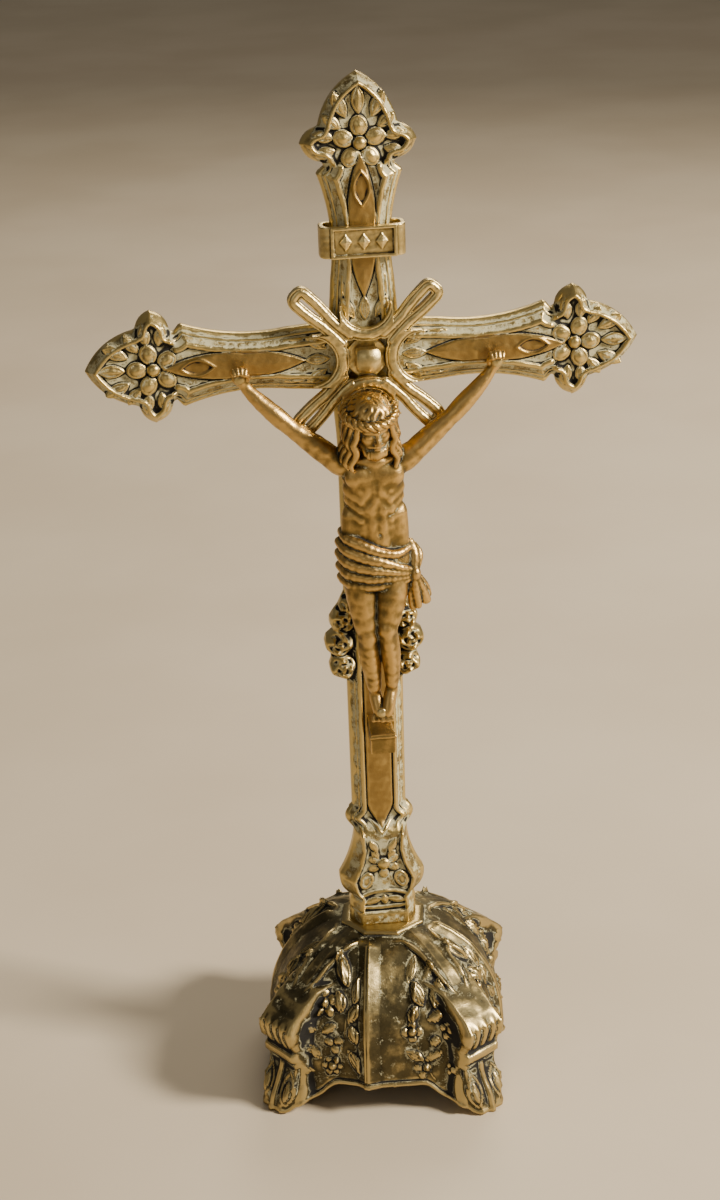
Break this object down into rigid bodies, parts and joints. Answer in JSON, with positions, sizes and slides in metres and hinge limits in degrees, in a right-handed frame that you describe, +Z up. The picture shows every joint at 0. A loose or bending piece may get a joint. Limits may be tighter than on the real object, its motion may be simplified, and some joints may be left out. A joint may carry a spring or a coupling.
{
  "type": "altar cross",
  "caption": "Standing cast-brass altar cross with a figure, flower finials and a strapwork crossing, turned on a stud in a hollow domed base with bracket feet.",
  "frame": {"origin": "on the surface the feet stand on, under the middle of the base", "axes": "+Z up along the shaft, front of the cross faces -Y, +X to the viewer's right"},
  "size_m": [0.143, 0.076, 0.28],
  "materials": {
    "aged_brass": "aged, worn bright on the raised parts with a pale bloom in the recesses",
    "bright_brass": "worn satin brass",
    "dark_brass": "dark aged brass with mottled patina",
    "steel": "dull steel"
  },
  "bodies": {
    "base": {"base_dome": "dark_brass"},
    "cross": {"cross_casting": "aged_brass", "crossing_strapwork": "bright_brass", "crossing_rivet": "bright_brass", "titulus_band": "bright_brass", "corpus": "aged_brass", "footrest_bracket": "dark_brass", "left_hand_pin": "bright_brass", "right_hand_pin": "bright_brass", "foot_pin": "bright_brass", "mounting_stud": "steel", "washer": "steel", "hex_nut": "steel"}
  },
  "joints": [
    {"name": "cross_turn", "type": "hinge", "parent": "base", "child": "cross", "pos_m": [0, 0, 0.045], "axis": [0, 0, 1], "continuous": true}
  ]
}
